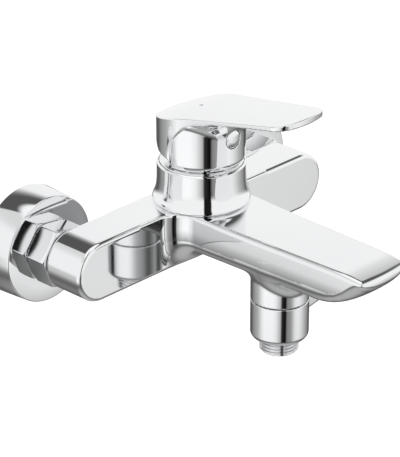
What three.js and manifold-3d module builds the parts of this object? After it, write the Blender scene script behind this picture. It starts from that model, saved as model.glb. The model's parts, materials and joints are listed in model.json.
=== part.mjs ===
// Wall mounted single-lever bath and shower mixer, modelled as an assembly.
// Units are millimetres. +X runs right along the body bar for a user facing the wall,
// +Y points into the wall, +Z is up. The origin lies on the wall plane, midway between
// the two inlets, at the height of the inlet axes.
import * as THREE from 'three';
import { mergeVertices } from 'three/addons/utils/BufferGeometryUtils.js';
import Module from 'manifold-3d';

const wasm = await Module();
wasm.setup();

// ---------------------------------------------------------------- driving dimensions
const INLET_X = 75;            // half the 150 mm inlet spacing
const ARM_R = 16;              // half height of the body bar, radius of its round ends
const BODY_BACK = -32.8;       // rear face of the body bar
const BODY_FRONT = -57.8;      // front face of the body bar
const EDGE = 2.2;              // edge rounding of the body bar
const ROSETTE_R = 28.7;        // wall rosette radius at its face, 1 mm more at the wall
const ROSETTE_DEPTH = 19.0;    // wall rosette depth
const AX_Y = -55;              // Y of the vertical cartridge axis
const COLLAR_R = 23.4;         // cartridge housing radius at its rim
const COLLAR_FLARE_R = 25.7;   // radius of the flared lip at its foot
const COLLAR_TOP = 38.4;       // rim height
const SPOUT_W0 = 22.4;         // spout half width at the root
const SPOUT_W1 = 18.0;         // spout half width near the tip
const SPOUT_TIP = -180.7;       // Y of the spout tip on the centre line
const OUT_Y = -110.6;          // Y of the shower outlet axis
const OUT_R = 15.2;            // shower outlet radius
const SEAM_Z = -22.8;          // joint line between outlet boss and diverter sleeve
const SLEEVE_END = -44.6;      // lower end of the diverter sleeve
const NIPPLE_END = -52.6;      // lower end of the threaded nipple
const G_HALF_R = 10.478;       // G1/2 thread crest radius
const G_3Q_R = 13.22;          // G3/4 thread crest radius
const AER_Y = -153;            // Y of the aerator axis
const NUT_AF = 30;             // union nut width across flats
const PIVOT_Z = 34;            // height of the lever's tilt axis
const CAP_R = 23.4;            // lever cap radius
const CAP_BOTTOM = 39.2;       // lever cap lower edge
const LEVER_Z0 = 67.9;         // top of the lever above the cartridge axis
const LEVER_SLOPE = 0.19;      // rise of the lever top per mm towards its tip
const LEVER_LEN = 72.5;        // lever length from the cartridge axis to its tip
const LIFT_DEG = 25;           // full lift of the lever
const WALL_THREAD = 20;        // length of union thread inside the wall
const UNION_OFFSET = -5;       // eccentricity of the wall unions
const GAP = 0.3;               // running and seating gap between pieces

// ---------------------------------------------------------------- materials
const chrome = (c = 0xd9dadd, r = 0.08) => new THREE.MeshStandardMaterial({ color: c, roughness: r, metalness: 1 });
const MAT = {
  chrome: chrome(),
  brass: new THREE.MeshStandardMaterial({ color: 0xb99a55, roughness: 0.35, metalness: 1 }),
  steel: new THREE.MeshStandardMaterial({ color: 0xa9abae, roughness: 0.3, metalness: 1 }),
  ceramic: new THREE.MeshStandardMaterial({ color: 0xf1efe8, roughness: 0.25, metalness: 0 }),
  black: new THREE.MeshStandardMaterial({ color: 0x1c1c1d, roughness: 0.6, metalness: 0 }),
  rubber: new THREE.MeshStandardMaterial({ color: 0x141414, roughness: 0.85, metalness: 0 }),
  white: new THREE.MeshStandardMaterial({ color: 0xe8e8e6, roughness: 0.45, metalness: 0 }),
  grey: new THREE.MeshStandardMaterial({ color: 0x8f9397, roughness: 0.5, metalness: 0 }),
};

// ---------------------------------------------------------------- solid helpers
function solid(geometry, matrix) {
  const g = geometry.clone();
  if (matrix) g.applyMatrix4(matrix);
  for (const k of Object.keys(g.attributes)) if (k !== 'position') g.deleteAttribute(k);
  const m = mergeVertices(g, 1e-4);
  const index = m.index.array;
  const pos = m.attributes.position.array;
  const tri = [];
  for (let i = 0; i < index.length; i += 3) {
    const [a, b, c] = [index[i], index[i + 1], index[i + 2]];
    if (a !== b && b !== c && a !== c) tri.push(a, b, c);
  }
  let s = new wasm.Manifold(new wasm.Mesh({ numProp: 3, vertProperties: new Float32Array(pos), triVerts: new Uint32Array(tri) }));
  if (s.volume() < 0) {
    for (let i = 0; i < tri.length; i += 3) [tri[i + 1], tri[i + 2]] = [tri[i + 2], tri[i + 1]];
    s = new wasm.Manifold(new wasm.Mesh({ numProp: 3, vertProperties: new Float32Array(pos), triVerts: new Uint32Array(tri) }));
  }
  return s;
}
function toGeometry(s) {
  const m = s.getMesh();
  const n = m.vertProperties.length / m.numProp;
  const pos = new Float32Array(n * 3);
  for (let i = 0; i < n; i++) for (let k = 0; k < 3; k++) pos[3 * i + k] = m.vertProperties[i * m.numProp + k];
  const g = new THREE.BufferGeometry();
  g.setAttribute('position', new THREE.BufferAttribute(pos, 3));
  g.setIndex(Array.from(m.triVerts));
  g.computeVertexNormals();
  return g;
}
const T = (x, y, z) => new THREE.Matrix4().makeTranslation(x, y, z);
const RX = (a) => new THREE.Matrix4().makeRotationX(a);
const RY = (a) => new THREE.Matrix4().makeRotationY(a);
const RZ = (a) => new THREE.Matrix4().makeRotationZ(a);
const mul = (...ms) => ms.reduce((a, b) => a.clone().multiply(b), new THREE.Matrix4());

// profile of [radius, height] pairs revolved about the vertical axis through (x, y)
function revolve(profile, seg, x = 0, y = 0, z = 0) {
  const pts = profile.map(([r, h]) => new THREE.Vector2(Math.max(r, 0), h));
  const g = new THREE.LatheGeometry(pts, seg);
  return solid(g, mul(T(x, y, z), RX(Math.PI / 2)));
}
// the same profile about an axis along Y, heights measured towards the wall
function revolveY(profile, seg, x = 0, z = 0, phase = 0) {
  const pts = profile.map(([r, h]) => new THREE.Vector2(Math.max(r, 0), h));
  const g = new THREE.LatheGeometry(pts, seg);
  return solid(g, mul(T(x, 0, z), RY(phase)));
}
const ring = (ro, ri, z0, z1, seg, x = 0, y = 0) => revolve([[ri, z0], [ro, z0], [ro, z1], [ri, z1], [ri, z0]], seg, x, y);
const disc = (r, z0, z1, seg, x = 0, y = 0) => revolve([[0, z0], [r, z0], [r, z1], [0, z1]], seg, x, y);
const ringY = (ro, ri, y0, y1, seg, x = 0, z = 0) => revolveY([[ri, y0], [ro, y0], [ro, y1], [ri, y1], [ri, y0]], seg, x, z);
const discY = (r, y0, y1, seg, x = 0, z = 0) => revolveY([[0, y0], [r, y0], [r, y1], [0, y1]], seg, x, z);
const discX = (r, x0, x1, seg, y = 0, z = 0) => {
  const g = new THREE.CylinderGeometry(r, r, x1 - x0, seg);
  return solid(g, mul(T((x0 + x1) / 2, y, z), RZ(Math.PI / 2)));
};
const box = (x0, x1, y0, y1, z0, z1) => solid(new THREE.BoxGeometry(x1 - x0, y1 - y0, z1 - z0), T((x0 + x1) / 2, (y0 + y1) / 2, (z0 + z1) / 2));
function shapeOf(points) {
  const s = new THREE.Shape();
  points.forEach(([a, b], i) => (i ? s.lineTo(a, b) : s.moveTo(a, b)));
  s.closePath();
  return s;
}
// outline in the XY plane pulled up from z0 to z1
const prismZ = (points, z0, z1) => solid(new THREE.ExtrudeGeometry(shapeOf(points), { depth: z1 - z0, bevelEnabled: false }), T(0, 0, z0));
// outline in the YZ plane pulled along X
const prismX = (points, x0, x1) => solid(
  new THREE.ExtrudeGeometry(shapeOf(points), { depth: x1 - x0, bevelEnabled: false }),
  new THREE.Matrix4().makeBasis(new THREE.Vector3(0, 1, 0), new THREE.Vector3(0, 0, 1), new THREE.Vector3(1, 0, 0)).setPosition(x0, 0, 0));
// closed skin through a list of equal-length rings of points
function loft(rings) {
  const n = rings[0].length;
  const pos = [];
  rings.forEach((r) => r.forEach((p) => pos.push(...p)));
  const idx = [];
  for (let i = 0; i + 1 < rings.length; i++) {
    for (let j = 0; j < n; j++) {
      const a = i * n + j, b = i * n + ((j + 1) % n), c = a + n, d = b + n;
      idx.push(a, b, d, a, d, c);
    }
  }
  for (const [ri, flip] of [[0, true], [rings.length - 1, false]]) {
    const c = rings[ri].reduce((s, p) => [s[0] + p[0] / n, s[1] + p[1] / n, s[2] + p[2] / n], [0, 0, 0]);
    const ci = pos.length / 3;
    pos.push(...c);
    for (let j = 0; j < n; j++) {
      const a = ri * n + j, b = ri * n + ((j + 1) % n);
      if (flip) idx.push(ci, b, a); else idx.push(ci, a, b);
    }
  }
  const g = new THREE.BufferGeometry();
  g.setAttribute('position', new THREE.BufferAttribute(new Float32Array(pos), 3));
  g.setIndex(idx);
  return solid(g);
}
const arc = (cx, cy, r, a0, a1, n) => Array.from({ length: n + 1 }, (_, i) => {
  const a = (a0 + ((a1 - a0) * i) / n) * Math.PI / 180;
  return [cx + r * Math.cos(a), cy + r * Math.sin(a)];
});
const lerp = (a, b, t) => a + (b - a) * t;
const clamp = (v, a, b) => Math.min(b, Math.max(a, v));
const smooth = (t) => { t = clamp(t, 0, 1); return t * t * (3 - 2 * t); };

const root = new THREE.Group();
function piece(name, s, material) {
  const mesh = new THREE.Mesh(toGeometry(s), material);
  mesh.name = name;
  root.add(mesh);
  return mesh;
}

// ================================================================ body casting
// horizontal bar with round ends concentric with the inlets
function stadium(r, n) {
  return [...arc(INLET_X, 0, r, -90, 90, n), ...arc(-INLET_X, 0, r, 90, 270, n)];
}
const barShape = shapeOf(stadium(ARM_R - EDGE, 12));
const bar = solid(
  new THREE.ExtrudeGeometry(barShape, { depth: BODY_BACK - BODY_FRONT - 2 * EDGE, bevelEnabled: true, bevelSize: EDGE, bevelThickness: EDGE, bevelSegments: 3 }),
  mul(T(0, BODY_BACK - EDGE, 0), RX(Math.PI / 2)));

// spout: flat top, sides curving under, belly lower than the side edges, root flowing
// out of the bar in concave curves, tip rising like a bow
function spoutHalfWidth(y) {
  const t = clamp((BODY_FRONT - y) / (BODY_FRONT - SPOUT_TIP), 0, 1);
  let w = lerp(SPOUT_W0, SPOUT_W1 - 0.4, t);
  const d = y - (BODY_FRONT - 12);
  if (d > 0) w += 12 - Math.sqrt(Math.max(0, 144 - Math.min(d, 11.9) ** 2));
  return w;
}
function spoutBelly(y) {
  const rise = clamp((-147.1 - y) / 33.5, 0, 1.2);
  const root = clamp((y + 82) / 24, 0, 1);
  return -8.9 - 7.1 * root * root + 18.0 * Math.pow(rise, 1.75);
}
function spoutRing(y, tipScale) {
  const w = spoutHalfWidth(y) * tipScale;
  const zt = 16, zb = Math.min(spoutBelly(y), zt - 1.6), h = zt - zb;
  const half = [[0, 0], [0.93, 0], [1, 1.6 / h], [0.985, 0.33], [0.93, 0.62], [0.80, 0.82], [0.55, 0.95], [0, 1]];
  const pts = half.map(([a, b]) => [a * w, y, zt - b * h]);
  for (let i = half.length - 2; i > 0; i--) pts.push([-half[i][0] * w, y, zt - half[i][1] * h]);
  return pts;
}
const spoutStations = [-50, -57.9, -59.2, -61.5, -65, -70, -77, -86, -100, -124, -146, -153, -160, -166, -171, -175, -177.6];
const spoutRings = spoutStations.map((y) => spoutRing(y, 1));
[[-178.9, 0.985], [-179.8, 0.93], [-180.4, 0.7], [SPOUT_TIP, 0.3]].forEach(([y, k]) => spoutRings.push(spoutRing(y, k)));
const spout = loft(spoutRings);

// cartridge housing: straight collar with a rounded rim over a flared lip
const collarProfile = [[0, 6], [21, 6], [21, 15.2], [COLLAR_FLARE_R - 1.5, 15.7], [COLLAR_FLARE_R - 0.3, 16.4], [COLLAR_FLARE_R, 17.3], [25.1, 19.3], [24.1, 21.4], [23.5, 24.6], [23.3, 28], [COLLAR_R, COLLAR_TOP - 2.0], [COLLAR_R - 0.3, COLLAR_TOP - 1.3], [COLLAR_R - 0.8, COLLAR_TOP - 0.8], [0, COLLAR_TOP - 0.8]];
const collar = revolve(collarProfile, 40, 0, AX_Y);

// outlet boss under the spout, widening where it meets the belly
const boss = revolve([[0, SEAM_Z], [OUT_R, SEAM_Z], [OUT_R, -14.5], [OUT_R + 0.6, -11.4], [OUT_R + 2.4, -8.6], [OUT_R + 2.4, -5], [0, -5]], 32, 0, OUT_Y);
// rear tails carrying the captive union nuts
const tails = [-1, 1].map((s) => ringY(11.2, 7.5, BODY_BACK - 1, BODY_BACK + 4, 24, s * INLET_X)
  .add(ringY(12.4, 7.5, BODY_BACK + 4, BODY_BACK + 6.4, 24, s * INLET_X)));

let body = bar.add(spout).add(collar).add(boss).add(tails[0]).add(tails[1]);
// waterways
const cut = (s) => { body = body.subtract(s); };
for (const s of [-1, 1]) {
  cut(discY(7.5, -48, BODY_BACK + 10, 24, s * INLET_X));
  cut(s < 0 ? discX(6, -INLET_X, -6.5, 20, -46, 0) : discX(6, 6.5, INLET_X, 20, -46, 0));
  cut(disc(3.4, -2, 6, 16, s * 8.5, -49.5));
}
cut(disc(3.6, -2, 6, 16, 0, -65));
cut(discY(5, -158, -63, 20, 0, 1.2));
// cartridge bore with its threaded mouth
cut(revolve([[0, 3], [17.8, 3], [17.8, 29], [20.6, 29], [20.6, 35.4], [22.2, 35.4], [22.2, COLLAR_TOP + 2], [0, COLLAR_TOP + 2]], 36, 0, AX_Y));
// diverter chamber and aerator pocket
cut(revolve([[0, SEAM_Z - 2], [12.4, SEAM_Z - 2], [12.4, -10], [9, -7], [0, -7]], 28, 0, OUT_Y));
cut(disc(4.5, -8, 1, 16, 0, OUT_Y));
cut(revolve([[0, -14], [11.6, -14], [11.6, 5.5], [8, 8.0], [0, 8.0]], 28, 0, AER_Y));
piece('body_casting', body, MAT.chrome);

// ================================================================ wall connection
const hexPoints = (af, rot) => Array.from({ length: 6 }, (_, i) => {
  const a = rot + (i * Math.PI) / 3; const r = af / 2 / Math.cos(Math.PI / 6);
  return [r * Math.cos(a), r * Math.sin(a)];
});
for (const [s, side] of [[-1, 'left'], [1, 'right']]) {
  const x = s * INLET_X;
  // rosette: deep cup, flat polished face with a small rounded edge, open towards the wall
  const face = [[13.5, -ROSETTE_DEPTH], [ROSETTE_R - 0.6, -ROSETTE_DEPTH], [ROSETTE_R, -ROSETTE_DEPTH + 0.6], [ROSETTE_R + 1, -0.4], [ROSETTE_R - 0.4, -0.4], [ROSETTE_R - 1.4, -ROSETTE_DEPTH + 1.5], [13.5, -ROSETTE_DEPTH + 1.5], [13.5, -ROSETTE_DEPTH]];
  piece('rosette_' + side, revolveY(face, 48, x), MAT.chrome);

  // union nut: hexagon with a chamfered rear end, turning on the body's tail
  const hexRot = s * 0.122;
  const nutY0 = BODY_BACK + GAP, nutY1 = -ROSETTE_DEPTH - GAP;
  const hexS = solid(new THREE.ExtrudeGeometry(shapeOf(hexPoints(NUT_AF, hexRot)), { depth: nutY1 - nutY0, bevelEnabled: false }), mul(T(x, nutY1, 0), RX(Math.PI / 2)));
  const chamferLimit = revolveY([[0, nutY0], [16.3, nutY0], [17.4, nutY0 + 0.7], [17.4, nutY1 - 2.0], [14.9, nutY1], [0, nutY1]], 30, x);
  let nut = hexS.intersect(chamferLimit);
  nut = nut.subtract(revolveY([[0, nutY0 - 1], [11.6, nutY0 - 1], [11.6, BODY_BACK + 3.6], [13.6, BODY_BACK + 3.6], [13.6, nutY1 + 1], [0, nutY1 + 1]], 24, x));
  piece('union_nut_' + side, nut, MAT.chrome);

  // seal with strainer between tail and union
  const sealY0 = BODY_BACK + 6.4 + GAP;
  piece('inlet_seal_' + side, ringY(12.8, 8.0, sealY0, sealY0 + 2, 20, x), MAT.rubber);

  // eccentric wall union: thread for the nut, offset barrel, thread into the wall
  const u0 = sealY0 + 2 + GAP;
  const front = revolveY([[0, u0], [12.2, u0], [12.9, u0 + 0.8], [12.9, -8.2], [12.2, -7.2], [0, -7.2]], 24, x);
  const threadCrests = [];
  for (let y = WALL_THREAD - 1.4, i = 0; i < 5; i++, y -= 3.4) threadCrests.push([G_HALF_R, y], [G_HALF_R - 1.1, y - 1.7]);
  const wallThread = [[0, WALL_THREAD], [G_HALF_R - 1.1, WALL_THREAD], ...threadCrests, [G_HALF_R - 0.2, 1.0], [G_HALF_R - 0.2, -4], [0, -4]].reverse();
  const rear = revolveY(wallThread, 20, x, UNION_OFFSET);
  const mid = revolveY([[0, -8.2], [12.6, -8.2], [12.6, -3.2], [0, -3.2]], 24, x, UNION_OFFSET * 0.5);
  let union = front.add(mid).add(rear);
  union = union.subtract(discY(7.6, u0 - 1, -5, 20, x)).subtract(discY(7.4, -6.4, WALL_THREAD + 1, 20, x, UNION_OFFSET));
  piece('eccentric_union_' + side, union, MAT.brass);
}

// ================================================================ cartridge
const SEAT = 3;
// base plate with its three ports
let base = disc(17.2, SEAT + GAP, 7.2, 28, 0, AX_Y);
for (const [px, py, pr] of [[-8.5, -49.5, 3.0], [8.5, -49.5, 3.0], [0, -65, 3.2]]) base = base.subtract(disc(pr, SEAT - 1, 9, 12, px, py));
piece('cartridge_base', base, MAT.black);
let fixedDisc = disc(15.2, 7.5, 11.3, 28, 0, AX_Y);
for (const [px, py, pr] of [[-7, -50, 2.6], [7, -50, 2.6], [0, -63.5, 3.0]]) fixedDisc = fixedDisc.subtract(disc(pr, 6, 13, 12, px, py));
piece('fixed_ceramic_disc', fixedDisc, MAT.ceramic);
const SLIDE = 3.05;
let movingDisc = disc(11.5, 11.6, 15.2, 24, 0, AX_Y + SLIDE);
movingDisc = movingDisc.subtract(disc(5, 10, 13.4, 16, 0, AX_Y + SLIDE - 3));
piece('moving_ceramic_disc', movingDisc, MAT.ceramic);
let carrier = disc(11.2, 15.5, 21.2, 24, 0, AX_Y + SLIDE);
carrier = carrier.subtract(box(-3.6, 3.6, AX_Y - 4.1, AX_Y + 4.1, 17.2, 23));
piece('disc_carrier', carrier, MAT.grey);
// outer housing: tube with an inward flange at the top
let housing = revolve([[15.8, 7.5], [17.4, 7.5], [17.4, 30.4], [12.3, 30.4], [12.3, 27.4], [15.8, 27.4], [15.8, 7.5]], 28, 0, AX_Y);
piece('cartridge_housing', housing, MAT.white);
// rotating guide that carries the stem pin
let guide = revolve([[0, 21.5], [15.3, 21.5], [15.3, 27.0], [11.8, 27.0], [11.8, 38.2], [0, 38.2]], 24, 0, AX_Y);
guide = guide.subtract(box(-4.3, 4.3, AX_Y - 9.8, AX_Y + 6.8, 20, 40));
guide = guide.subtract(discX(1.8, -13, 13, 12, AX_Y, PIVOT_Z));
piece('stem_guide', guide, MAT.grey);
piece('stem_pin', discX(1.5, -11.2, 11.2, 12, AX_Y, PIVOT_Z), MAT.steel);
// stem: square bar above the pin, rounded tail below it
let stem = box(-3.9, 3.9, AX_Y - 3.9, AX_Y + 3.9, 29.6, 58).add(box(-2.9, 2.9, AX_Y - 2.9, AX_Y + 2.9, 20, 30));
stem = stem.add(revolve([[0, 17.6], [2.0, 18.1], [3.0, 19.4], [3.0, 20.6], [2.2, 21.9], [0, 22.2]], 12, 0, AX_Y));
stem = stem.subtract(discX(1.8, -6, 6, 12, AX_Y, PIVOT_Z));
piece('lever_stem', stem, MAT.brass);
// ring nut clamping the cartridge, and the polished dome ring above it
let ringNut = revolve([[12.6, 30.7], [20.2, 30.7], [20.2, 34.9], [16.6, 34.9], [16.6, 36.3], [12.6, 36.3], [12.6, 30.7]], 28, 0, AX_Y);
piece('cartridge_ring_nut', ringNut, MAT.brass);
const dome = revolve([[20.6, 35.75], [21.9, 35.75], [21.9, 37.9], [20.9, 38.5], [17.5, 39.3], [13.6, 39.8], [12.7, 39.8], [12.7, 38.5], [17.2, 37.9], [20.6, 36.9], [20.6, 35.75]], 36, 0, AX_Y);
piece('dome_ring', dome, MAT.chrome);

// ================================================================ lever
const leverTop = (d) => LEVER_Z0 + LEVER_SLOPE * d - (d < 6 ? 0.0042 * (6 - d) ** 2 : 0); // d is the distance in front of the axis
// plan outline: back follows the cap, sides taper towards a gently rounded front edge
const halfPlan = [[0, -CAP_R]];
arc(0, 0, CAP_R, -90, -3, 15).slice(1).forEach(([px, py]) => halfPlan.push([px, py]));
[[23.0, 2.5], [22.1, 8], [21.3, 16], [20.5, 26], [19.7, 38], [18.9, 50], [18.1, 59], [17.2, 64.5], [15.2, 68.4], [11.6, 70.6], [6, 71.9], [0, LEVER_LEN]].forEach((p) => halfPlan.push(p));
const plan = [...halfPlan.map(([px, d]) => [px, AX_Y - d]), ...halfPlan.slice(1, -1).reverse().map(([px, d]) => [-px, AX_Y - d])];
const planPrism = prismZ(plan, 30, 100);
const topLine = []; for (let d = -26; d <= 76; d += (d < 8 ? 4 : 12)) topLine.push([AX_Y - d, leverTop(d)]);
topLine.push([AX_Y - 76, leverTop(76)]);
const underTop = prismX([[AX_Y + 26, 30], ...topLine, [AX_Y - 76, 30]], -30, 30);
const slabLine = topLine.map(([y, z]) => { const d = AX_Y - y; return [y, z - (d < 40 ? 4.2 : lerp(4.2, 2.6, (d - 40) / 36))]; });
const slab = prismX([...topLine, ...slabLine.slice().reverse()], -30, 30);
// cap with a concave throat sweeping out into the underside of the plate
const throat = revolve([[0, CAP_BOTTOM], [CAP_R - 1.9, CAP_BOTTOM], [CAP_R, 42.6], [CAP_R, 50], [CAP_R + 0.7, 55], [CAP_R + 2.8, 60], [CAP_R + 6.6, 64.4], [CAP_R + 12, 67.6], [CAP_R + 20, 69.5], [CAP_R + 20, 90], [0, 90]], 48, 0, AX_Y);
let lever = planPrism.intersect(underTop).intersect(throat.add(slab));
// rear relief that clears the collar when the lever is lifted
lever = lever.subtract(solid(new THREE.BoxGeometry(80, 60, 40), mul(T(0, AX_Y, CAP_BOTTOM), RX(Math.atan(0.58)), T(0, 30, -20))));
lever = lever.subtract(prismX([[AX_Y + 0.1, 38], [AX_Y + 2.2, 43.8], [AX_Y + 12.5, 45.8], [AX_Y + 30, 45.8], [AX_Y + 30, 38]], -30, 30));
// hollow inside the cap, with the stem socket standing in it
const hollow = revolve([[0, 30], [20.4, 30], [20.4, 50], [19.2, 55.5], [16.5, 58.8], [0, 58.8]], 32, 0, AX_Y);
let socket = box(-6.6, 6.6, AX_Y - 7.0, AX_Y + 6.6, 44.5, 60);
socket = socket.add(box(-4.2, 4.2, AX_Y - 21.5, AX_Y - 6, 50.6, 60));
lever = lever.subtract(hollow.subtract(socket));
lever = lever.subtract(box(-4.2, 4.2, AX_Y - 4.2, AX_Y + 4.2, 30, 58.4));
// screw hole from the front into the stem socket, with a counterbore for its plug
lever = lever.subtract(discY(2.7, AX_Y - 24, AX_Y - 3, 16, 0, 55.2));
lever = lever.subtract(discY(5.2, AX_Y - 26, AX_Y - 20.6, 20, 0, 55.2));
// seat of the indicator
lever = lever.subtract(disc(0.95, leverTop(0) - 1.0, leverTop(0) + 4, 14, 0, AX_Y));
piece('lever', lever, MAT.chrome);
let grub = discY(2.4, AX_Y - 11, AX_Y - 4.3, 16, 0, 55.2);
grub = grub.subtract(solid(new THREE.CylinderGeometry(1.3, 1.3, 5, 6), T(0, AX_Y - 10.5, 55.2)));
piece('lever_grub_screw', grub, MAT.steel);
const plug = revolveY([[0, AX_Y - 22.9], [3.2, AX_Y - 22.7], [4.6, AX_Y - 22.0], [4.9, AX_Y - 21.6], [4.9, AX_Y - 20.9], [2.3, AX_Y - 20.9], [2.3, AX_Y - 17], [0, AX_Y - 17]], 20, 0, 55.2);
piece('screw_plug', plug, MAT.chrome);
piece('lever_indicator', disc(0.65, leverTop(0) - 0.7, leverTop(0) - 0.15, 14, 0, AX_Y), MAT.grey);

// ================================================================ aerator
piece('aerator_washer', ring(10.9, 7.6, 3.9, 5.2, 20, 0, AER_Y), MAT.rubber);
const aerHousing = revolve([[9.6, -3.9], [11.2, -3.9], [11.2, 3.6], [9.9, 3.6], [9.9, -2.7], [9.6, -3.1], [9.6, -3.9]], 28, 0, AER_Y);
piece('aerator_housing', aerHousing, MAT.chrome);
let insert = disc(9.5, -2.2, 3.4, 24, 0, AER_Y);
for (let i = -1; i <= 1; i++) for (let j = -1; j <= 1; j++) {
  insert = insert.subtract(solid(new THREE.BoxGeometry(3.4, 3.4, 12), T(i * 4.4, AER_Y + j * 4.4, 1)));
}
piece('aerator_insert', insert, MAT.white);

// ================================================================ shower outlet with rotary diverter
// turning sleeve below the boss
let sleeve = revolve([[11.9, SLEEVE_END + 1.2], [12.4, SLEEVE_END], [OUT_R - 3, SLEEVE_END + 0.0], [OUT_R - 1.2, SLEEVE_END + 0.9], [OUT_R - 0.3, SLEEVE_END + 2.3], [OUT_R, SLEEVE_END + 4.2], [OUT_R, SEAM_Z - 0.45], [OUT_R - 0.2, SEAM_Z - 0.25], [11.9, SEAM_Z - 0.25], [11.9, SLEEVE_END + 1.2]], 36, 0, OUT_Y);
// finger grip on the right of the sleeve
const gripRing = (x, hy, z0, z1) => [[-hy, z0 + 1.6], [-hy + 1.6, z0], [hy - 1.6, z0], [hy, z0 + 1.6], [hy, z1 - 1.6], [hy - 1.6, z1], [-hy + 1.6, z1], [-hy, z1 - 1.6]].map(([gy, gz]) => [x, OUT_Y + gy, gz]);
sleeve = sleeve.add(loft([gripRing(13.4, 3.9, -36.4, -27.2), gripRing(27.4, 3.2, -34.6, -28.0), gripRing(28.4, 2.8, -34.1, -28.5), gripRing(28.8, 2.2, -33.6, -29.0)]));
const sector = (r0, r1, a0, a1, n) => [...arc(0, OUT_Y, r1, a0, a1, n), ...arc(0, OUT_Y, r0, a1, a0, n)];
// fixed nipple: flange screwed into the boss, barrel through the sleeve, thread below it
const crest = []; const rootR = G_HALF_R - 1.16;
crest.push([G_HALF_R - 0.9, NIPPLE_END]);
for (let z = NIPPLE_END + 0.9, i = 0; i < 4; i++, z += 1.814) crest.push([G_HALF_R, z], [rootR, z + 0.907]);
let nipple = revolve([[7.2, NIPPLE_END], ...crest, [rootR, -22.2], [12.1, -22.2], [12.1, -18.4], [7.2, -18.4], [7.2, NIPPLE_END]], 28, 0, OUT_Y);
nipple = nipple.subtract(prismZ(sector(9.9, 13, 30, 150, 10), -23, -17));
piece('shower_nipple', nipple, MAT.chrome);
// drive collar fixed in the sleeve; its key reaches up through the flange slot into the rotor
let driver = ring(11.6, 10.2, -38, -22.6, 28, 0, OUT_Y).add(prismZ(sector(10.2, 11.6, 33, 57, 3), -24, -15.2));
piece('diverter_drive_collar', driver, MAT.brass);
let rotor = disc(11.6, -18.1, -14.6, 28, 0, OUT_Y);
rotor = rotor.subtract(disc(3.4, -19, -13, 14, 4.6, OUT_Y)).subtract(disc(1.6, -19, -13, 10, -5.4, OUT_Y)).subtract(prismZ(sector(9.8, 13, 31, 59, 3), -19, -13));
piece('diverter_rotor', rotor, MAT.grey);
let seatDisc = disc(11.8, -14.3, -11.2, 28, 0, OUT_Y);
seatDisc = seatDisc.subtract(disc(3.4, -15, -10, 16, 0, OUT_Y - 5.4)).subtract(disc(3.0, -15, -10, 16, 0, OUT_Y + 5.4));
piece('diverter_seat_disc', seatDisc, MAT.ceramic);
piece('diverter_sleeve', sleeve, MAT.chrome);
piece('diverter_o_ring', revolve(arc(10.6, -40.3, 0.95, 0, 360, 6), 20, 0, OUT_Y), MAT.rubber);
piece('sleeve_clip', ring(11.6, 9.65, -42.9, -41.8, 20, 0, OUT_Y), MAT.steel);
// non-return valve in the nipple
let cage = ring(6.9, 5.2, -50.0, -36.0, 20, 0, OUT_Y).add(ring(5.3, 3.0, -37.2, -36.0, 20, 0, OUT_Y));
cage = cage.add(box(-6, 6, OUT_Y - 0.7, OUT_Y + 0.7, -50.0, -48.8).subtract(disc(1.5, -52, -47, 12, 0, OUT_Y)));
piece('check_valve_cage', cage, MAT.white);
const poppet = revolve([[0, -48.0], [1.1, -48.0], [1.1, -39.4], [4.5, -39.2], [4.5, -37.9], [3.0, -37.5], [0, -37.5]], 20, 0, OUT_Y);
piece('check_valve_poppet', poppet, MAT.white);
class Coil extends THREE.Curve {
  getPoint(t, target = new THREE.Vector3()) {
    const a = t * Math.PI * 2 * 4;
    return target.set(2.9 * Math.cos(a), OUT_Y + 2.9 * Math.sin(a), lerp(-48.0, -40.2, t));
  }
}
const wire = new THREE.Shape(arc(0, 0, 0.35, 0, 360, 5).slice(0, 5).map(([a, b]) => new THREE.Vector2(a, b)));
piece('check_valve_spring', solid(new THREE.ExtrudeGeometry(wire, { steps: 36, bevelEnabled: false, extrudePath: new Coil() })), MAT.steel);

export default root;
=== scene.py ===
import json
import math
import bpy
import numpy as np
from mathutils import Matrix, Vector


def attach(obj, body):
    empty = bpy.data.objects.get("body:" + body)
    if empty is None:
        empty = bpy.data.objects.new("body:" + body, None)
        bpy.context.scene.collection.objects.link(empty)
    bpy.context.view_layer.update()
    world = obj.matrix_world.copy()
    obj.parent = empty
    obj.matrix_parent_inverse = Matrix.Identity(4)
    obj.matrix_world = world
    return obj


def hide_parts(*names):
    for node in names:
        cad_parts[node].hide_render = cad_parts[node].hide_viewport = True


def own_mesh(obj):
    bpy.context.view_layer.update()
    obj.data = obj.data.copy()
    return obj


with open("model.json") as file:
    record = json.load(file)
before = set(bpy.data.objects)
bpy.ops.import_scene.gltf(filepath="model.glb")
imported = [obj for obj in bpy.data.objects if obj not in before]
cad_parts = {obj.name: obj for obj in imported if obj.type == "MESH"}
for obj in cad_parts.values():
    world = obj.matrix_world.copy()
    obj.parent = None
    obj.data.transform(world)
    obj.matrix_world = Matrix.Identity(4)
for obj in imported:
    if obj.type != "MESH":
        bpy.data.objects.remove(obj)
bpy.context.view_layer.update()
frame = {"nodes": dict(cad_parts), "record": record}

MM = 0.001

# ------------------------------------------------------------------ dimensions, in millimetres
INLET_X, ARM_R = 75.0, 16.0
BACK, FRONT = -32.8, -57.8
AX = -55.0                    # cartridge axis
OUT_Y, OUT_R = -110.6, 15.2   # shower outlet
SEAM_Z = -22.8
AER_Y = -153.0
ROS_R, ROS_D = 28.7, 19.0
CAP_R = 23.4
CAP_BOTTOM = 39.2


# ------------------------------------------------------------------ implicit surfaces
def u_round(a, b, r):
    """union with a concave fillet of radius r"""
    return np.maximum(r, np.minimum(a, b)) - np.hypot(np.maximum(r - a, 0), np.maximum(r - b, 0))


def i_round(a, b, r):
    """intersection with its edge rounded to radius r"""
    return np.minimum(-r, np.maximum(a, b)) + np.hypot(np.maximum(r + a, 0), np.maximum(r + b, 0))


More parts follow.
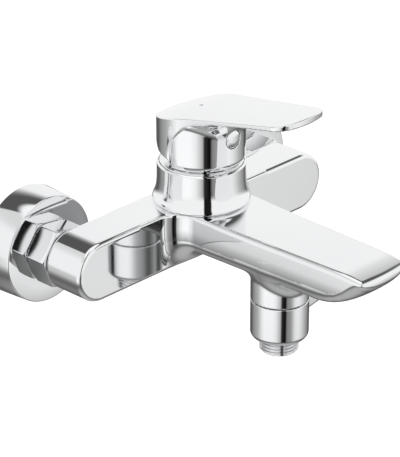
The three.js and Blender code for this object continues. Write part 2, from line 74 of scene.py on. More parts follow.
def gradient(f, p, e=0.02):
    g = np.empty_like(p)
    for k in range(3):
        q = p.copy(); q[:, k] += e
        s = p.copy(); s[:, k] -= e
        g[:, k] = (f(q[:, 0], q[:, 1], q[:, 2]) - f(s[:, 0], s[:, 1], s[:, 2])) / (2 * e)
    return g


def surface(f, lo, hi, h, slack=1.6):
    """surface nets over blocks near the surface, then projection on to it; returns vertices, quads, normals"""
    lo, hi, B = np.array(lo, float), np.array(hi, float), 8
    nb = np.ceil((hi - lo) / (h * B)).astype(int)
    F = np.full(nb * B + 1, 1e3, np.float32)
    gi = np.stack(np.meshgrid(*[np.arange(k) for k in nb], indexing="ij"), -1).reshape(-1, 3)
    cen = lo + (gi * B + B / 2) * h
    fc = f(cen[:, 0], cen[:, 1], cen[:, 2])
    near = np.abs(fc) < 0.87 * B * h * slack
    for (i, j, k), v in zip(gi[~near] * B, fc[~near]):
        F[i:i + B + 1, j:j + B + 1, k:k + B + 1] = v
    loc = np.stack(np.meshgrid(*[np.arange(B + 1)] * 3, indexing="ij"), -1).reshape(-1, 3)
    todo = gi[near] * B
    for c in range(0, len(todo), 400):
        ids = todo[c:c + 400, None, :] + loc[None]
        p = (lo + ids * h).reshape(-1, 3)
        v = f(p[:, 0], p[:, 1], p[:, 2]).astype(np.float32)
        q = ids.reshape(-1, 3)
        F[q[:, 0], q[:, 1], q[:, 2]] = v
    S = F < 0
    n = np.array(S.shape) - 1
    count = np.zeros(n, np.uint8)
    corners = [(i, j, k) for i in (0, 1) for j in (0, 1) for k in (0, 1)]
    for i, j, k in corners:
        count += S[i:n[0] + i, j:n[1] + j, k:n[2] + k]
    act = (count > 0) & (count < 8)
    idx = np.argwhere(act)
    V = np.zeros((len(idx), 3)); cnt = np.zeros(len(idx))
    for a in corners:
        for d in range(3):
            if a[d]:
                continue
            b = list(a); b[d] = 1
            fa = F[idx[:, 0] + a[0], idx[:, 1] + a[1], idx[:, 2] + a[2]].astype(float)
            fb = F[idx[:, 0] + b[0], idx[:, 1] + b[1], idx[:, 2] + b[2]].astype(float)
            x = (fa < 0) != (fb < 0)
            t = np.where(x, fa / np.where(x, fa - fb, 1), 0)
            p = np.tile(np.array(a, float), (len(idx), 1)); p[:, d] += t
            V += np.where(x[:, None], p, 0); cnt += x
    V = lo + (idx + V / cnt[:, None]) * h
    for _ in range(5):
        g = gradient(f, V)
        fv = f(V[:, 0], V[:, 1], V[:, 2])
        step = fv[:, None] * g / np.maximum((g ** 2).sum(1), 0.05)[:, None]
        ln = np.linalg.norm(step, axis=1)
        V -= step * np.minimum(1, 0.5 * h / np.maximum(ln, 1e-9))[:, None]
    vid = np.full(act.shape, -1, np.int64); vid[act] = np.arange(len(idx))
    quads = []
    for d in range(3):
        u, v = (d + 1) % 3, (d + 2) % 3
        sl_a = [slice(1, n[k]) for k in range(3)]; sl_a[d] = slice(0, n[d])
        sl_b = list(sl_a); sl_b[d] = slice(1, n[d] + 1)
        a, b = S[tuple(sl_a)], S[tuple(sl_b)]
        p = np.argwhere(a != b)
        inside = a[p[:, 0], p[:, 1], p[:, 2]]
        off = np.ones(3, int); off[d] = 0
        p = p + off
        def at(du, dv):
            q = p.copy(); q[:, u] -= du; q[:, v] -= dv
            return vid[q[:, 0], q[:, 1], q[:, 2]]
        quad = np.stack([at(1, 1), at(0, 1), at(0, 0), at(1, 0)], 1)
        quad[~inside] = quad[~inside][:, ::-1]
        quads.append(quad)
    quads = np.concatenate(quads)
    g = gradient(f, V)
    N = g / np.maximum(np.linalg.norm(g, axis=1), 1e-9)[:, None]
    return V, quads, N


def new_object(name, verts, faces, mat, body, replaces=(), normals=None, sharp=None):
    """mesh object from millimetres, smooth shaded; edges sharper than `sharp` degrees stay crisp"""
    me = bpy.data.meshes.new(name)
    me.from_pydata([tuple(v) for v in (np.asarray(verts) * MM).tolist()], [], [list(f) for f in faces])
    me.update()
    me.polygons.foreach_set("use_smooth", np.ones(len(me.polygons), bool))
    if normals is not None:
        me.normals_split_custom_set_from_vertices(normals.tolist())
    elif sharp is not None:
        me.set_sharp_from_angle(angle=math.radians(sharp))
    ob = bpy.data.objects.new(name, me)
    bpy.context.scene.collection.objects.link(ob)
    me.materials.append(mat)
    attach(ob, body)
    if replaces:
        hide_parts(*replaces)
    return ob


def rounded(points, n=5):
    """profile with each corner (r, z, radius) rounded"""
    out = []
    m = len(points)
    for i, pt in enumerate(points):
        p = np.array(pt[:2], float)
        rad = pt[2] if len(pt) > 2 else 0
        if not rad or i in (0, m - 1):
            out.append(tuple(p)); continue
        a = np.array(points[i - 1][:2], float) - p
        b = np.array(points[i + 1][:2], float) - p
        la, lb = np.linalg.norm(a), np.linalg.norm(b)
        a, b = a / la, b / lb
        ang = math.acos(max(-1, min(1, float(a @ b))))
        t = min(rad / math.tan(ang / 2), 0.49 * la, 0.49 * lb)
        r = t * math.tan(ang / 2)
        c = p + (a + b) / np.linalg.norm(a + b) * (r / math.sin(ang / 2))
        s, e = p + a * t - c, p + b * t - c
        for k in range(n + 1):
            w = k / n
            v = s * (1 - w) + e * w
            v = v / np.linalg.norm(v) * r
            out.append(tuple(c + v))
    return out


def smooth_curve(points, n=6):
    """Catmull-Rom through the points"""
    P = [np.array(p, float) for p in points]
    P = [2 * P[0] - P[1]] + P + [2 * P[-1] - P[-2]]
    out = []
    for i in range(1, len(P) - 2):
        for k in range(n):
            t = k / n
            a, b, c, d = P[i - 1], P[i], P[i + 1], P[i + 2]
            out.append(tuple(0.5 * (2 * b + (c - a) * t + (2 * a - 5 * b + 4 * c - d) * t ** 2 + (3 * b - a - 3 * c + d) * t ** 3)))
    out.append(tuple(P[-2]))
    return out


def lathe_mesh(profile, seg, axis="Z", at=(0, 0, 0), radius=None):
    """closed profile of (r, h) about Z through `at`, or about Y with h along +Y; returns verts, faces"""
    prof = [profile[0]]
    for p in profile[1:]:
        if math.hypot(p[0] - prof[-1][0], p[1] - prof[-1][1]) > 1e-4:
            prof.append(p)
    closed = math.hypot(prof[0][0] - prof[-1][0], prof[0][1] - prof[-1][1]) < 1e-4
    if closed:
        prof = prof[:-1]
    verts, rows = [], []
    for r, h in prof:
        if r < 1e-6:
            rows.append([len(verts)] * seg)
            verts.append((0.0, 0.0, h))
        else:
            rows.append(list(range(len(verts), len(verts) + seg)))
            for k in range(seg):
                t = 2 * math.pi * k / seg
                rr = radius(r, h, t) if radius else r
                verts.append((rr * math.cos(t), rr * math.sin(t), h))
    m = len(rows)
    area = sum(prof[i][0] * prof[(i + 1) % m][1] - prof[(i + 1) % m][0] * prof[i][1] for i in range(m))
    faces = []
    for i in range(m if closed else m - 1):
        a, b = rows[i], rows[(i + 1) % m]
        for k in range(seg):
            l = (k + 1) % seg
            f = [a[k], a[l], b[l], b[k]]
            f = [v for j, v in enumerate(f) if v not in f[:j]]
            if len(f) > 2:
                faces.append(f if area > 0 else f[::-1])
    v = np.array(verts)
    if axis == "Y":
        v = np.stack([v[:, 0], v[:, 2], v[:, 1]], 1)
        faces = [f[::-1] for f in faces]
    return v + np.array(at, float), faces


def join(*parts):
    verts, faces, n = [], [], 0
    for v, f in parts:
        verts.append(np.asarray(v))
        faces += [[i + n for i in q] for q in f]
        n += len(v)
    return np.concatenate(verts), faces


# ------------------------------------------------------------------ materials
def base_material(name):
    m = bpy.data.materials.new(name)
    m.use_nodes = True
    nt = m.node_tree
    bsdf = nt.nodes["Principled BSDF"]
    co = nt.nodes.new("ShaderNodeTexCoord")
    return m, nt, bsdf, co


def noise(nt, co, scale, detail=3.0, rough=0.55, stretch=None):
    n = nt.nodes.new("ShaderNodeTexNoise")
    n.inputs["Scale"].default_value = scale
    n.inputs["Detail"].default_value = detail
    n.inputs["Roughness"].default_value = rough
    src = co.outputs["Object"]
    if stretch:
        mp = nt.nodes.new("ShaderNodeMapping")
        mp.inputs["Scale"].default_value = stretch
        nt.links.new(src, mp.inputs["Vector"])
        src = mp.outputs["Vector"]
    nt.links.new(src, n.inputs["Vector"])
    return n.outputs["Fac"]


def ramp(nt, fac, stops):
    r = nt.nodes.new("ShaderNodeValToRGB")
    e = r.color_ramp.elements
    e[0].position, e[0].color = stops[0][0], (*stops[0][1], 1)
    e[1].position, e[1].color = stops[-1][0], (*stops[-1][1], 1)
    for p, c in stops[1:-1]:
        x = e.new(p); x.color = (*c, 1)
    nt.links.new(fac, r.inputs["Fac"])
    return r.outputs["Color"]


def ranged(nt, fac, lo, hi, a=0.3, b=0.7):
    m = nt.nodes.new("ShaderNodeMapRange")
    m.inputs["From Min"].default_value = a
    m.inputs["From Max"].default_value = b
    m.inputs["To Min"].default_value = lo
    m.inputs["To Max"].default_value = hi
    nt.links.new(fac, m.inputs["Value"])
    return m.outputs["Result"]


def bump(nt, bsdf, height, strength, distance):
    b = nt.nodes.new("ShaderNodeBump")
    b.inputs["Strength"].default_value = strength
    b.inputs["Distance"].default_value = distance
    nt.links.new(height, b.inputs["Height"])
    nt.links.new(b.outputs["Normal"], bsdf.inputs["Normal"])


def metal(name, dark, light, r0, r1, scale, stretch=None, bump_s=0.0, bump_d=0.0, fine=None):
    m, nt, bsdf, co = base_material(name)
    bsdf.inputs["Metallic"].default_value = 1.0
    f = noise(nt, co, scale, 4.0, stretch=stretch)
    nt.links.new(ramp(nt, f, [(0.3, dark), (0.7, light)]), bsdf.inputs["Base Color"])
    g = noise(nt, co, fine or scale * 5, 5.0, stretch=stretch)
    nt.links.new(ranged(nt, g, r0, r1), bsdf.inputs["Roughness"])
    if bump_s:
        bump(nt, bsdf, g, bump_s, bump_d)
    return m


def plastic(name, dark, light, r0, r1, scale=180.0, bump_s=0.15, bump_d=0.00005):
    m, nt, bsdf, co = base_material(name)
    f = noise(nt, co, scale, 3.0)
    nt.links.new(ramp(nt, f, [(0.3, dark), (0.7, light)]), bsdf.inputs["Base Color"])
    g = noise(nt, co, scale * 6, 4.0)
    nt.links.new(ranged(nt, g, r0, r1), bsdf.inputs["Roughness"])
    bump(nt, bsdf, g, bump_s, bump_d)
    return m


CHROME = metal("polished_chrome", (0.86, 0.865, 0.875), (0.905, 0.91, 0.915), 0.035, 0.06, 9.0, fine=60.0)
SATIN = metal("dot_grey", (0.30, 0.31, 0.33), (0.42, 0.43, 0.45), 0.25, 0.4, 900.0)
BRASS = metal("turned_brass", (0.68, 0.52, 0.26), (0.75, 0.59, 0.32), 0.20, 0.30, 60.0, stretch=(1, 14, 1), bump_s=0.08, bump_d=0.00002)
STEEL = metal("drawn_steel", (0.48, 0.48, 0.49), (0.66, 0.66, 0.67), 0.18, 0.32, 120.0, stretch=(1, 1, 6), bump_s=0.1, bump_d=0.00002)
CERAMIC = plastic("lapped_ceramic", (0.86, 0.84, 0.79), (0.93, 0.92, 0.88), 0.14, 0.26, 90.0, 0.05)
RUBBER = plastic("seal_rubber", (0.016, 0.016, 0.017), (0.035, 0.035, 0.036), 0.6, 0.8, 400.0, 0.3, 0.0001)
BLACK = plastic("black_moulding", (0.02, 0.02, 0.021), (0.045, 0.045, 0.047), 0.42, 0.6)
WHITE = plastic("white_moulding", (0.74, 0.74, 0.72), (0.86, 0.86, 0.84), 0.32, 0.48)
GREY = plastic("grey_moulding", (0.30, 0.315, 0.33), (0.42, 0.43, 0.45), 0.35, 0.5)
BY_SLOT = {"polished_chrome": CHROME, "raw_brass": BRASS, "stainless_steel": STEEL, "valve_ceramic": CERAMIC,
           "seal_rubber": RUBBER, "black_plastic": BLACK, "white_plastic": WHITE, "grey_plastic": GREY}
for sub in frame["record"]["subparts"]:
    ob = frame["nodes"].get(sub.get("node"))
    if ob is not None:
        ob.data.materials.clear()
        ob.data.materials.append(BY_SLOT[sub["material_slot"]])


# ------------------------------------------------------------------ body casting: bar, spout and outlet boss in one skin
def spout_field(x, y, z):
    yr = -(y - AX)                                   # forward of the cartridge axis
    s = yr + 5.4 + 0.0035 * x * x * np.clip((yr - 80) / 40, 0, 1)   # the tip is bowed in plan
    w = 21.9 - 0.031 * yr
    zc = np.interp(s, [0, 2, 108, 114, 119, 123, 127, 140], [0.4, 0.6, 2.4, 4.0, 7.4, 11.2, 14.0, 16.5])
    rise = np.clip((s - 97.5) / 33.5, 0, 1.2)
    zb = -8.9 + 18.0 * rise ** 1.75
    zc = np.maximum(zc, zb + 1.5)
    side = np.abs(x) - (w - 0.008 * (np.clip(z, -2, 18) - 8.5) ** 2)
    wl = np.maximum(w - 0.008 * (zc - 8.5) ** 2, 1)
    H = np.maximum(zc - zb, 1.0)
    t = np.maximum(zc - z, 0) / H
    p = 2.3
    ax = np.abs(x) / wl
    E = np.maximum((ax ** p + t ** p) ** (1 / p), 1e-6)
    gx = E ** (1 - p) * ax ** (p - 1) / wl
    gz = E ** (1 - p) * t ** (p - 1) / H
    low = (E - 1) / np.maximum(np.hypot(gx, gz), 1e-4)
    f = np.where(z > zc, side, low)
    front = s - 131.0
    f = i_round(f, front, 1.8)
    return f, front, zb


def body_field(x, y, z):
    bar_xz = np.hypot(np.maximum(np.abs(x) - INLET_X, 0), z) - ARM_R
    slab = np.maximum(FRONT - y, y - BACK)
    bar = i_round(bar_xz, slab, 2.2)
    sp, front, zb = spout_field(x, y, z)
    sp = np.maximum(sp, y + 45)
    both = u_round(np.maximum(slab, np.abs(x) - 60), sp, 12.0)
    both = np.maximum(both, np.abs(x) - 48)
    # the top ends in a rolled lip at the tip
    yr = AX - y
    both = i_round(both, z - 16 + 0.0038 * np.maximum(yr - 105, 0) ** 2, 1.2 + 1.4 * np.clip((yr - 15) / 25, 0, 1))
    both = i_round(both, i_round(front, z - 16, 4.6), 0.35)
    both = i_round(both, -16 - z, 2.2)
    f = np.minimum(bar, both)
    rad = np.hypot(x, y - OUT_Y)
    boss = np.maximum(rad - OUT_R, -(z - SEAM_Z))
    boss = np.maximum(boss, z - 0)
    rr = 4.5 + 4.0 * np.clip((OUT_Y - y) / 14, 0, 1)
    f = u_round(f, boss, rr)
    f = i_round(f, SEAM_Z - z, 0.5)
    # bores
    c = np.hypot(x, y - AX)
    f = np.maximum(f, -np.maximum(c - 17.8, 3 - z))
    f = np.maximum(f, -np.maximum(rad - 12.4, z + 10))
    f = np.maximum(f, -np.maximum(np.hypot(x, y - AER_Y) - 11.6, z - 5.5))
    return f


H_BODY = 0.75
V, Q, N = surface(body_field, (-92.5, -188.2, -24.5), (92.5, -31.5, 18.2), H_BODY)
new_object("body_casting_skin", V, Q, CHROME, "body", ["body_casting"], normals=N)

outer = smooth_curve([(24.1, 15.75), (25.05, 16.05), (25.6, 16.75), (25.68, 17.6), (25.4, 18.6), (24.85, 19.8), (24.3, 21.2), (23.85, 23.0), (23.55, 25.2),
                      (23.36, 28.0), (23.3, 31.0), (23.3, 34.0), (23.3, 36.0)], 6)
collar = [(21.5, 15.4)] + outer + rounded([(23.3, 36.0), (23.3, 36.75, 0.4), (22.35, 37.65, 0.25), (22.2, 37.4), (22.2, 35.4), (20.6, 35.4), (20.6, 29.0), (17.8, 29.0), (17.8, 14.0), (21.5, 14.0), (21.5, 15.4)], 4)[1:]
tail = [(7.5, BACK - 0.5), (11.2, BACK - 0.5), (11.2, BACK + 4), (12.4, BACK + 4), (12.4, BACK + 6.4), (7.5, BACK + 6.4), (7.5, BACK - 0.5)]
cv, cf = join(lathe_mesh(collar, 160, "Z", (0, AX, 0)), lathe_mesh(tail, 72, "Y", (INLET_X, 0, 0)), lathe_mesh(tail, 72, "Y", (-INLET_X, 0, 0)))
new_object("body_collar_skin", cv, cf, CHROME, "body", ["body_casting"], sharp=32)


# ------------------------------------------------------------------ wall connection
def nut_field(xc, rot):
    def f(x, y, z):
        dx, dz = x - xc, z
        a = -1e9
        for k in range(3):
            t = rot + math.pi / 6 + k * math.pi / 3
            a = np.maximum(a, np.abs(dx * math.cos(t) + dz * math.sin(t)) - 15.0)
        r = np.hypot(dx, dz)
        y0, y1 = BACK + 0.3, -ROS_D - 0.3
        slab = np.maximum(y0 - y, y - y1)
        cham = r - 17.35
        c1 = (r - 16.2 - (y - y0) * 1.6) * 0.53
        c2 = (r - 15.4 - (y1 - y) * 1.5) * 0.555
        f0 = i_round(a, np.maximum(cham, np.maximum(c1, c2)), 0.25)
        f0 = i_round(f0, slab, 0.25)
        bore = np.where(y < BACK + 3.6, r - 11.6, r - 13.6)
        return np.maximum(f0, -bore)
    return f


for sgn, side in ((-1, "left"), (1, "right")):
    x = sgn * INLET_X
    ros = rounded([(13.5, -ROS_D + 1.5), (13.5, -ROS_D, 0.25), (ROS_R, -ROS_D, 0.7), (ROS_R + 1.0, -0.4, 0.2), (ROS_R - 0.4, -0.4), (ROS_R - 1.4, -ROS_D + 1.5), (13.5, -ROS_D + 1.5)], 5)
    v, f = lathe_mesh(ros, 168, "Y", (x, 0, 0))
    new_object("rosette_skin_" + side, v, f, CHROME, "body", ["rosette_" + side], sharp=40)
    V, Q, N = surface(nut_field(x, sgn * 0.122), (x - 18.5, BACK - 0.6, -18.5), (x + 18.5, -ROS_D + 0.6, 18.5), 0.42)
    new_object("union_nut_skin_" + side, V, Q, CHROME, "body", ["union_nut_" + side], normals=N)


def union_field(xc):
    u0 = BACK + 9.0
    def f(x, y, z):
        dx = x - xc
        r1, rm, r2 = np.hypot(dx, z), np.hypot(dx, z + 2.5), np.hypot(dx, z + 5)
        front = i_round(r1 - 12.9, np.maximum(u0 - y, y + 7.2), 0.7)
        mid = i_round(rm - 12.6, np.maximum(-8.2 - y, y + 3.2), 0.6)
        ph = ((y - 1.814 * np.arctan2(z + 5, dx) / (2 * math.pi)) / 1.814) % 1.0
        k = np.clip((0.88 - np.abs(2 * ph - 1)) / 0.70, 0, 1)
        k = k * k * (3 - 2 * k)
        k = np.where(y < 1.5, 0.82, k * np.clip((19.8 - y) / 1.2, 0, 1))
        rear = i_round(r2 - (9.32 + 1.15 * k), np.maximum(-4 - y, y - 20), 0.3) * 0.7
        g = np.minimum(np.minimum(front, mid), rear)
        g = np.maximum(g, -np.maximum(r1 - 7.6, y + 5))
        return np.maximum(g, -np.maximum(r2 - 7.4, -6.4 - y))
    return f


for sgn, side in ((-1, "left"), (1, "right")):
    x = sgn * INLET_X
    V, Q, N = surface(union_field(x), (x - 14, BACK + 8.2, -17.0), (x + 14, 21.0, 14.0), 0.45)
    new_object("eccentric_union_skin_" + side, V, Q, BRASS, "body", ["eccentric_union_" + side], normals=N)


# ------------------------------------------------------------------ dome ring under the lever
dome = rounded([(20.6, 36.9), (20.6, 35.75), (21.9, 35.75, 0.2), (21.9, 37.9, 0.5), (20.9, 38.5, 0.9), (17.5, 39.3, 2.0), (13.6, 39.8, 0.5), (12.7, 39.8, 0.2), (12.7, 38.5), (17.2, 37.9), (20.6, 36.9)], 5)
v, f = lathe_mesh(dome, 140, "Z", (0, AX, 0))
new_object("dome_ring_skin", v, f, CHROME, "body", ["dome_ring"], sharp=40)


# ------------------------------------------------------------------ lever
def lever_half(d):
    e = np.maximum(d - 5, 0)
    near = 23.4 - 0.02 * np.clip(d, 0, 5) ** 2
    return np.where(d <= 5, near, 22.9 - 0.075 * e - 0.75 * (1 - np.exp(-e / 6)))


def lever_top(d, x):
    return 67.9 + 0.19 * d - 0.0042 * np.maximum(6 - d, 0) ** 2 - 0.0009 * x * x


def lever_field(x, y, z):
    d = AX - y
    r = np.hypot(x, d)
    side = np.where(d < 0, r - CAP_R, np.abs(x) - lever_half(d))
    front = d - (72.5 - 0.0125 * x * x)
    plan = i_round(side, front, 5.5)
    top = z - lever_top(d, x)
    hw = np.maximum(lever_half(d), 10)
    tc = np.interp(d, [0, 30, 60, 74], [5.0, 4.6, 3.9, 3.4])
    te = np.interp(d, [0, 50, 68, 74], [2.0, 2.1, 2.6, 3.0])
    under = lever_top(d, x) - (tc + (te - tc) * np.clip((x / hw) ** 2, 0, 1)) - z
    # the rear wall keeps the full outline, up to the edge of the scoop
    lim = -2.8 + 0.032 * np.maximum(z - 46, 0) ** 2
    k = np.clip((d - lim) / 1.8, 0, 1)
    cyl = r - (CAP_R + 0.25 - 0.75 * k * k * (3 - 2 * k))
    # the throat under the plate sweeps out of the cap's cylinder
    f = u_round(cyl, under, 4.5 + 7.0 * np.clip((d - 6) / 15, 0, 1) ** 2)
    f = i_round(f, plan, 0.45)
    f = i_round(f, top, 0.55)
    # lower edge: bevel, then the rising relief behind
    bev = np.where(z < 48, (r - 21.5 - (z - 38.7) * (CAP_R - 21.5) / 3.9) * 0.9, -4.0)
    f = i_round(f, bev, 0.3)
    f = i_round(f, CAP_BOTTOM - z, 0.3)
    back = np.maximum(-d, 0)
    rel = (CAP_BOTTOM + np.maximum(0.58 * -d, 4.6 * np.clip(back / 2.2, 0, 1) + 0.19 * np.maximum(back - 2.2, 0)) - z) * 0.6
    f = i_round(f, rel, 0.5)
    # hollow with the stem socket standing in it
    rh = np.interp(z, [50, 55.5, 58.8], [20.4, 19.2, 16.5])
    hollow = np.maximum(r - rh, z - 58.8)
    sock = np.maximum(np.maximum(np.abs(x) - 6.6, np.abs(d) - 6.8), 44.5 - z)
    rib = np.maximum(np.maximum(np.abs(x) - 4.2, np.abs(d - 13.5) - 8), 50.6 - z)
    hollow = np.maximum(hollow, -np.minimum(sock, rib))
    f = np.maximum(f, -hollow)
    f = np.maximum(f, -np.maximum(np.maximum(np.abs(x) - 4.2, np.abs(d) - 4.2), z - 58.4))
    q = np.hypot(x, z - 55.2)
    f = np.maximum(f, -np.maximum(q - 2.7, np.maximum(3 - d, d - 24)))
    f = np.maximum(f, -np.maximum(q - 5.2, 20.6 - d))
    f = np.maximum(f, -np.maximum(r - 0.95, 66.75 - z))
    return f


H_LEV = 0.5
V, Q, N = surface(lever_field, (-24.5, AX - 73.6, 38.2), (24.5, AX + 24.6, 82.6), H_LEV)
new_object("lever_skin", V, Q, CHROME, "lever", ["lever"], normals=N)
plug = rounded([(0, AX - 23.0), (1.6, AX - 22.97), (3.4, AX - 22.75), (4.9, AX - 22.15, 0.35), (4.9, AX - 20.9, 0.15), (2.3, AX - 20.9), (2.3, AX - 17), (0, AX - 17)], 5)
v, f = lathe_mesh(plug, 72, "Y", (0, 0, 55.2))
new_object("screw_plug_skin", v, f, CHROME, "lever", ["screw_plug"], sharp=35)


# ------------------------------------------------------------------ shower outlet
def sleeve_field(x, y, z):
    rad = np.hypot(x, y - OUT_Y)
    f = i_round(rad - OUT_R, -44.6 - z, 3.4)
    f = i_round(f, z - (SEAM_Z - 0.25), 0.35)
    # finger grip on the right
    t = np.clip((x - 13.4) / 15.4, 0, 1)
    hy, hz, zc = 3.85 - 0.75 * t, 4.55 - 1.25 * t, -31.8 + 0.5 * t
    g = i_round(np.abs(y - OUT_Y) - hy, np.abs(z - zc) - hz, 2.0)
    g = i_round(g, x - 28.75, 1.6)
    g = np.maximum(g, 12.5 - x)
    f = u_round(f, g, 1.4)
    f = np.maximum(f, 11.9 - rad)
    return np.maximum(f, (12.4 - rad - (z + 44.6)) * 0.7)


V, Q, N = surface(sleeve_field, (-16.2, OUT_Y - 16.2, -45.6), (29.8, OUT_Y + 16.2, SEAM_Z + 0.6), 0.42)
new_object("diverter_sleeve_skin", V, Q, CHROME, "diverter", ["diverter_sleeve"], normals=N)

PITCH, CREST, ROOT = 1.814, 10.478, 9.32
heights = np.arange(-52.3, -44.0, 0.13)
prof = [(7.2, -18.4), (7.2, -52.35), (7.5, -52.6), (9.15, -52.6), (9.45, -52.3)] + [(9.5, float(h)) for h in heights] + [(9.32, -43.6), (9.32, -22.2), (12.1, -22.2), (12.1, -18.4), (7.2, -18.4)]


def thread(r, h, t):
    if abs(r - 9.5) > 1e-6:
        return r
    ph = ((h - PITCH * t / (2 * math.pi)) / PITCH) % 1.0
    tri = 1 - abs(2 * ph - 1)
    k = min(1.0, max(0.0, (tri - 0.12) / 0.70))
    k = k * k * (3 - 2 * k)
    fade = min(1.0, max(0.0, (h + 52.3) / 0.8)) * min(1.0, max(0.0, (-44.6 - h) / 0.6))
    return ROOT + (CREST - ROOT) * k * fade


v, f = lathe_mesh(prof, 120, "Z", (0, OUT_Y, 0), radius=thread)
new_object("shower_nipple_skin", v, f, CHROME, "body", ["shower_nipple"], sharp=50)

# spring of the non-return valve
steps, sides = 200, 12
sv, sf = [], []
for i in range(steps + 1):
    t = i / steps
    ang = 8 * math.pi * t
    pos = np.array([2.9 * math.cos(ang), OUT_Y + 2.9 * math.sin(ang), -48.0 + 7.8 * t])
    tan = np.array([-2.9 * math.sin(ang) * 8 * math.pi, 2.9 * math.cos(ang) * 8 * math.pi, 7.8])
    tan /= np.linalg.norm(tan)
    out = np.array([math.cos(ang), math.sin(ang), 0.0])
    side_v = np.cross(tan, out)
    for j in range(sides):
        w = 2 * math.pi * j / sides
        sv.append(pos + 0.34 * (math.cos(w) * out + math.sin(w) * side_v))
for i in range(steps):
    for j in range(sides):
        l = (j + 1) % sides
        sf.append([i * sides + j, i * sides + l, (i + 1) * sides + l, (i + 1) * sides + j])
sf.append(list(range(sides))[::-1])
sf.append([steps * sides + j for j in range(sides)])
spring = new_object("check_valve_spring_skin", np.array(sv), sf, STEEL, "body", ["check_valve_spring"], sharp=50)
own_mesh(spring)

# ------------------------------------------------------------------ aerator
aer = rounded([(9.6, -3.2), (9.6, -3.9, 0.15), (11.2, -3.9, 0.35), (11.2, 3.6), (9.9, 3.6), (9.9, -2.7), (9.6, -3.2)], 4)
v, f = lathe_mesh(aer, 96, "Z", (0, AER_Y, 0))
new_object("aerator_housing_skin", v, f, CHROME, "body", ["aerator_housing"], sharp=35)

# ------------------------------------------------------------------ camera, from the photograph's viewing angle
a, e = math.radians(-46.21), math.radians(25.55)
cr = Vector((math.cos(a), math.sin(a), 0))
cb = Vector((math.sin(a) * math.cos(e), -math.cos(a) * math.cos(e), math.sin(e)))
cu = cb.cross(cr)
cam_data = bpy.data.cameras.new("camera")
cam = bpy.data.objects.new("camera", cam_data)
bpy.context.scene.collection.objects.link(cam)
target = Vector((0, AX * MM, 0)) - cr * 0.81 * MM - cu * 2.09 * MM
rot = Matrix((cr, cu, cb)).transposed().to_4x4()
cam.matrix_world = Matrix.Translation(target + cb * 1.33415) @ rot
cam_data.sensor_fit = "AUTO"
cam_data.sensor_width = 36.0
cam_data.lens = 2551.7 / 457 * 36.0
cam_data.clip_start, cam_data.clip_end = 0.05, 60
bpy.context.scene.camera = cam

# ------------------------------------------------------------------ stage and light
floor_mesh = bpy.data.meshes.new("floor")
S, FZ = 14.0, -0.42
floor_mesh.from_pydata([(-S, -S, FZ), (S, -S, FZ), (S, S, FZ), (-S, S, FZ)], [], [(0, 1, 2, 3)])
floor = bpy.data.objects.new("floor", floor_mesh)
bpy.context.scene.collection.objects.link(floor)
fm, fnt, fb, fco = base_material("floor_pale")
fn = noise(fnt, fco, 0.8, 2.0)
fnt.links.new(ramp(fnt, fn, [(0.3, (0.93, 0.93, 0.935)), (0.7, (0.96, 0.96, 0.96))]), fb.inputs["Base Color"])
fb.inputs["Roughness"].default_value = 0.9
fb.inputs["Specular IOR Level"].default_value = 0.0
fb.inputs["Emission Color"].default_value = (1, 1, 1, 1)
fb.inputs["Emission Strength"].default_value = 0.42
floor_mesh.materials.append(fm)
floor.visible_glossy = False

world = bpy.data.worlds.new("studio")
bpy.context.scene.world = world
world.use_nodes = True
wt = world.node_tree
bg = wt.nodes["Background"]
tc = wt.nodes.new("ShaderNodeTexCoord")
sep = wt.nodes.new("ShaderNodeSeparateXYZ")
wt.links.new(tc.outputs["Generated"], sep.inputs["Vector"])


def wmath(op, a, b=None, c=None, clamp=False):
    n = wt.nodes.new("ShaderNodeMath")
    n.operation = op
    n.use_clamp = clamp
    for i, v in enumerate((a, b, c)):
        if v is None:
            continue
        if isinstance(v, (int, float)):
            n.inputs[i].default_value = v
        else:
            wt.links.new(v, n.inputs[i])
    return n.outputs[0]


def wdot(vec):
    n = wt.nodes.new("ShaderNodeVectorMath")
    n.operation = "DOT_PRODUCT"
    wt.links.new(tc.outputs["Generated"], n.inputs[0])
    n.inputs[1].default_value = vec
    return n.outputs["Value"]


def wstep(v, lo, hi):
    n = wt.nodes.new("ShaderNodeMapRange")
    n.interpolation_type = "SMOOTHSTEP"
    n.inputs["From Min"].default_value = lo
    n.inputs["From Max"].default_value = hi
    wt.links.new(v, n.inputs["Value"])
    return n.outputs["Result"]


def wramp(v, lo, hi, stops):
    """value through a colour ramp whose stops are given in the value's own units"""
    r = wt.nodes.new("ShaderNodeValToRGB")
    e = r.color_ramp.elements
    e[0].position, e[0].color = 0.0, (stops[0][1],) * 3 + (1,)
    e[1].position, e[1].color = 1.0, (stops[-1][1],) * 3 + (1,)
    for t, val in stops[1:-1]:
        e.new((t - lo) / (hi - lo)).color = (val, val, val, 1)
    wt.links.new(wmath("MULTIPLY_ADD", v, 1 / (hi - lo), -lo / (hi - lo)), r.inputs["Fac"])
    return r.outputs["Color"]


zz = sep.outputs["Z"]
ch = Vector((-0.722, -0.692, 0.0)).normalized()      # towards the photograph's viewpoint
rh = Vector((0.692, -0.722, 0.0)).normalized()       # to its right
theta = wmath("MULTIPLY", wmath("ARCTAN2", wdot(rh), wdot(ch)), 180 / math.pi)
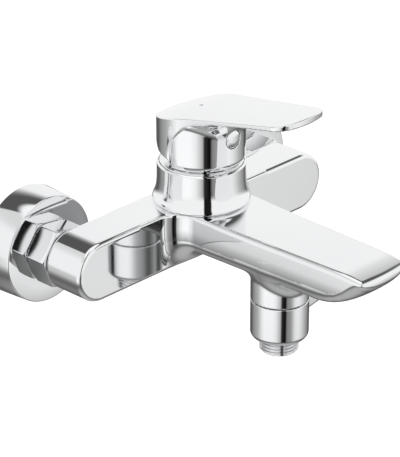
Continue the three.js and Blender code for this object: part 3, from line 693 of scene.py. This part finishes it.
# soft boxes, black card and dim sides around the object, by azimuth
around = wramp(theta, -180, 180, [(-180, 0.35), (-164, 0.20), (-152, 0.10), (-141, 0.11), (-130, 0.22), (-120, 0.32), (-110, 0.38), (-100, 0.45), (-90, 0.58), (-75, 0.92),
                                  (-62, 1.08), (-30, 1.08), (-16, 0.96), (-6, 0.72), (2, 0.50), (7, 0.03), (22, 0.0), (28, 0.24), (45, 0.38), (60, 0.84), (75, 0.96),
                                  (90, 0.82), (100, 0.68), (110, 0.52), (120, 0.41), (130, 0.31), (141, 0.17), (150, 0.07), (163, 0.08), (180, 0.35)])
# high up the room is even, and near the floor it fades to one tone
lift = wstep(zz, -0.34, -0.16)
sink = wstep(wmath("MULTIPLY", zz, -1.0), 0.50, 0.80)
side_light = wmath("ADD", wmath("MULTIPLY", around, wmath("SUBTRACT", 1.0, sink)), wmath("MULTIPLY", sink, 0.75))
card = wmath("MULTIPLY", wstep(theta, 4.0, 7.0), wmath("SUBTRACT", 1.0, wstep(theta, 22.0, 25.0)))
even = wmath("MULTIPLY_ADD", card, -0.97, 0.98)
level = wmath("ADD", wmath("MULTIPLY", side_light, wmath("SUBTRACT", 1.0, lift)), wmath("MULTIPLY", even, lift))
fall = wramp(zz, -1, 1, [(-1.0, 0.62), (-0.88, 0.54), (-0.79, 0.33), (-0.70, 0.20), (-0.62, 0.32), (-0.54, 0.68), (-0.45, 1.0), (0.8, 1.0), (0.88, 1.1), (1.0, 1.12)])
# a darker part of the ceiling, behind and to the right
over = wmath("MULTIPLY", wstep(zz, 0.46, 0.72), wmath("SUBTRACT", 1.0, wstep(zz, 0.80, 0.84)))
over = wmath("MULTIPLY", over, wmath("MULTIPLY_ADD", wstep(wdot((1.0, 0.38, 0.0)), 0.0, 0.04), 0.68, 0.22))
total = wmath("MULTIPLY", wmath("MULTIPLY", level, fall), wmath("SUBTRACT", 1.0, over))
wt.links.new(total, bg.inputs["Color"])
bg.inputs["Strength"].default_value = 1.0

bpy.context.scene.view_settings.view_transform = "Standard"
bpy.context.scene.view_settings.look = "None"
